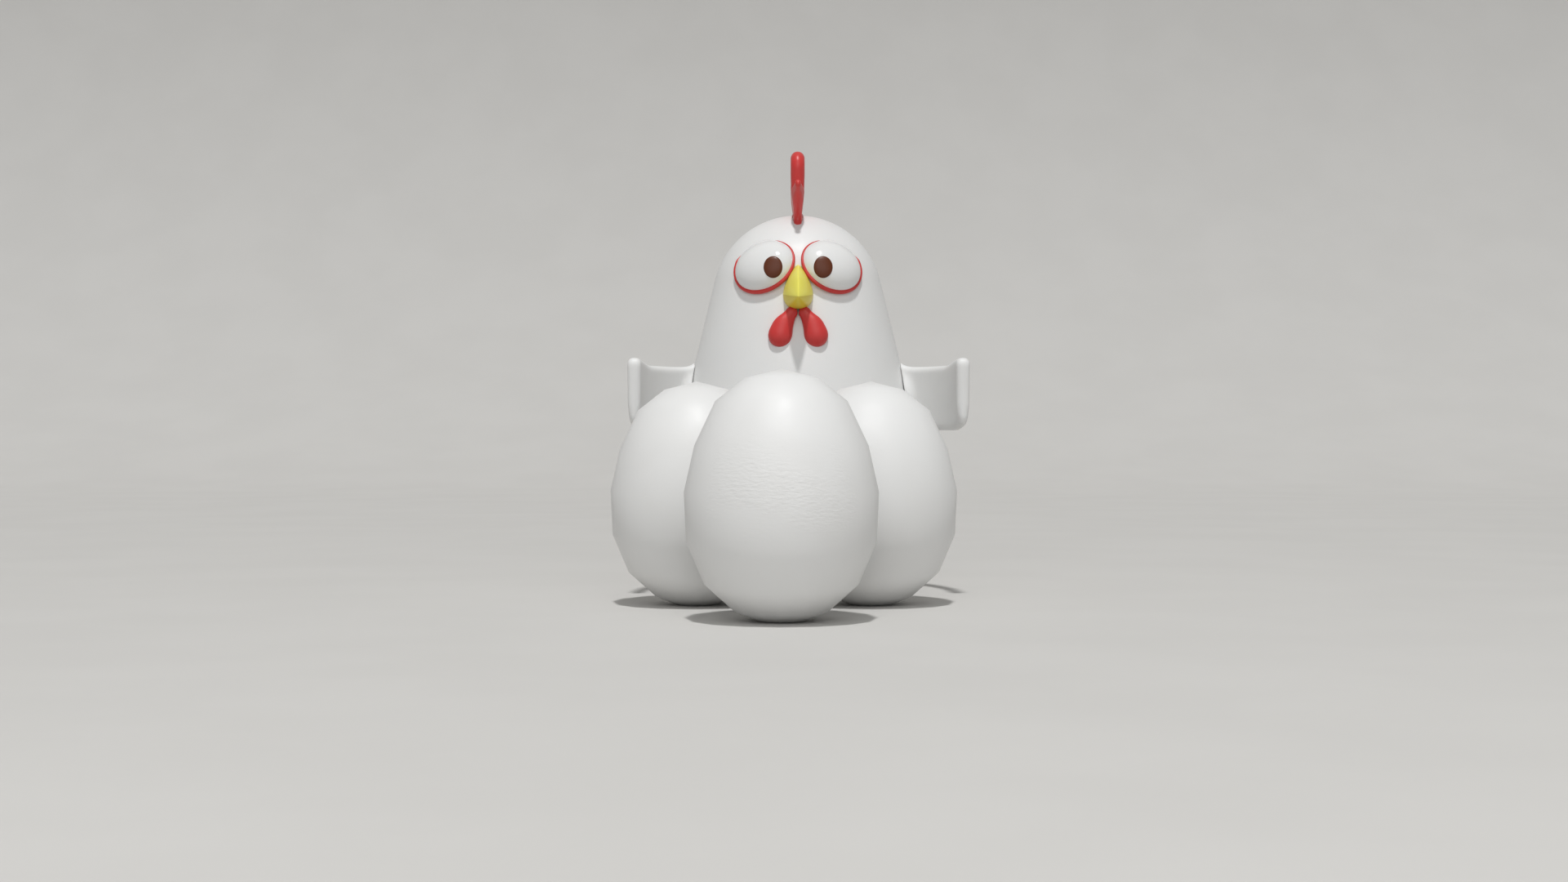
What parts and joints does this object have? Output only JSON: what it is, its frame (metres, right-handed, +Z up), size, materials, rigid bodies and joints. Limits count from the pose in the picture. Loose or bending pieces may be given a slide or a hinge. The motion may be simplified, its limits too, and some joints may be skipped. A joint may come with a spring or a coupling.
{
  "type": "rubber chicken",
  "caption": "Squeaky vinyl hen that stands on a flat base, with wings that turn in the body and loose faceted eggs in front.",
  "frame": {"origin": "centre of the underside of the hen's base, on the floor", "axes": "+Z up along the hen's axis, -Y the way the hen faces, +X the hen's left"},
  "size_m": [0.0925, 0.1888, 0.1213],
  "materials": {
    "white_vinyl": "satin",
    "red_vinyl": "satin",
    "yellow_vinyl": "satin",
    "dark_yellow_vinyl": "satin",
    "eye_white": "gloss",
    "pupil_brown": "gloss",
    "egg_white": "satin",
    "egg_plug_plastic": "matt",
    "weight_iron": "as cast",
    "inner_plastic": "matt",
    "squeaker_plastic": "matt",
    "reed_film": "matt"
  },
  "bodies": {
    "hen": {"body_shell": "white_vinyl", "base_plug": "white_vinyl", "squeaker_cup": "squeaker_plastic", "squeaker_reed_tube": "squeaker_plastic", "squeaker_reed": "reed_film", "beak_upper": "yellow_vinyl", "beak_lower": "dark_yellow_vinyl", "tail": "white_vinyl", "comb": "red_vinyl", "comb_clip": "inner_plastic", "eyeball_left": "eye_white", "pupil_left": "pupil_brown", "eye_rim_left": "red_vinyl", "eye_washer_left": "inner_plastic", "wattle_left": "red_vinyl", "eyeball_right": "eye_white", "pupil_right": "pupil_brown", "eye_rim_right": "red_vinyl", "eye_washer_right": "inner_plastic", "wattle_right": "red_vinyl"},
    "wing_left": {"wing_left": "white_vinyl"},
    "wing_right": {"wing_right": "white_vinyl"},
    "egg_front": {"egg_front_shell": "egg_white", "egg_front_weight": "weight_iron", "egg_front_plug": "egg_plug_plastic"},
    "egg_left": {"egg_left_shell": "egg_white", "egg_left_weight": "weight_iron", "egg_left_plug": "egg_plug_plastic"},
    "egg_right": {"egg_right_shell": "egg_white", "egg_right_weight": "weight_iron", "egg_right_plug": "egg_plug_plastic"}
  },
  "joints": [
    {"name": "wing_left_swivel", "type": "hinge", "parent": "hen", "child": "wing_left", "pos_m": [0.03076, -0.00542, 0.0525], "axis": [-0.957, 0.1687, -0.2362], "continuous": true},
    {"name": "wing_right_swivel", "type": "hinge", "parent": "hen", "child": "wing_right", "pos_m": [-0.03076, -0.00542, 0.0525], "axis": [-0.957, -0.1687, 0.2362], "continuous": true},
    {"name": "egg_front_lift", "type": "slide", "parent": "hen", "child": "egg_front", "axis": [0, 0, 1], "range_m": [0, 0.13]},
    {"name": "egg_left_lift", "type": "slide", "parent": "hen", "child": "egg_left", "axis": [0, 0, 1], "range_m": [0, 0.13]},
    {"name": "egg_right_lift", "type": "slide", "parent": "hen", "child": "egg_right", "axis": [0, 0, 1], "range_m": [0, 0.13]}
  ]
}
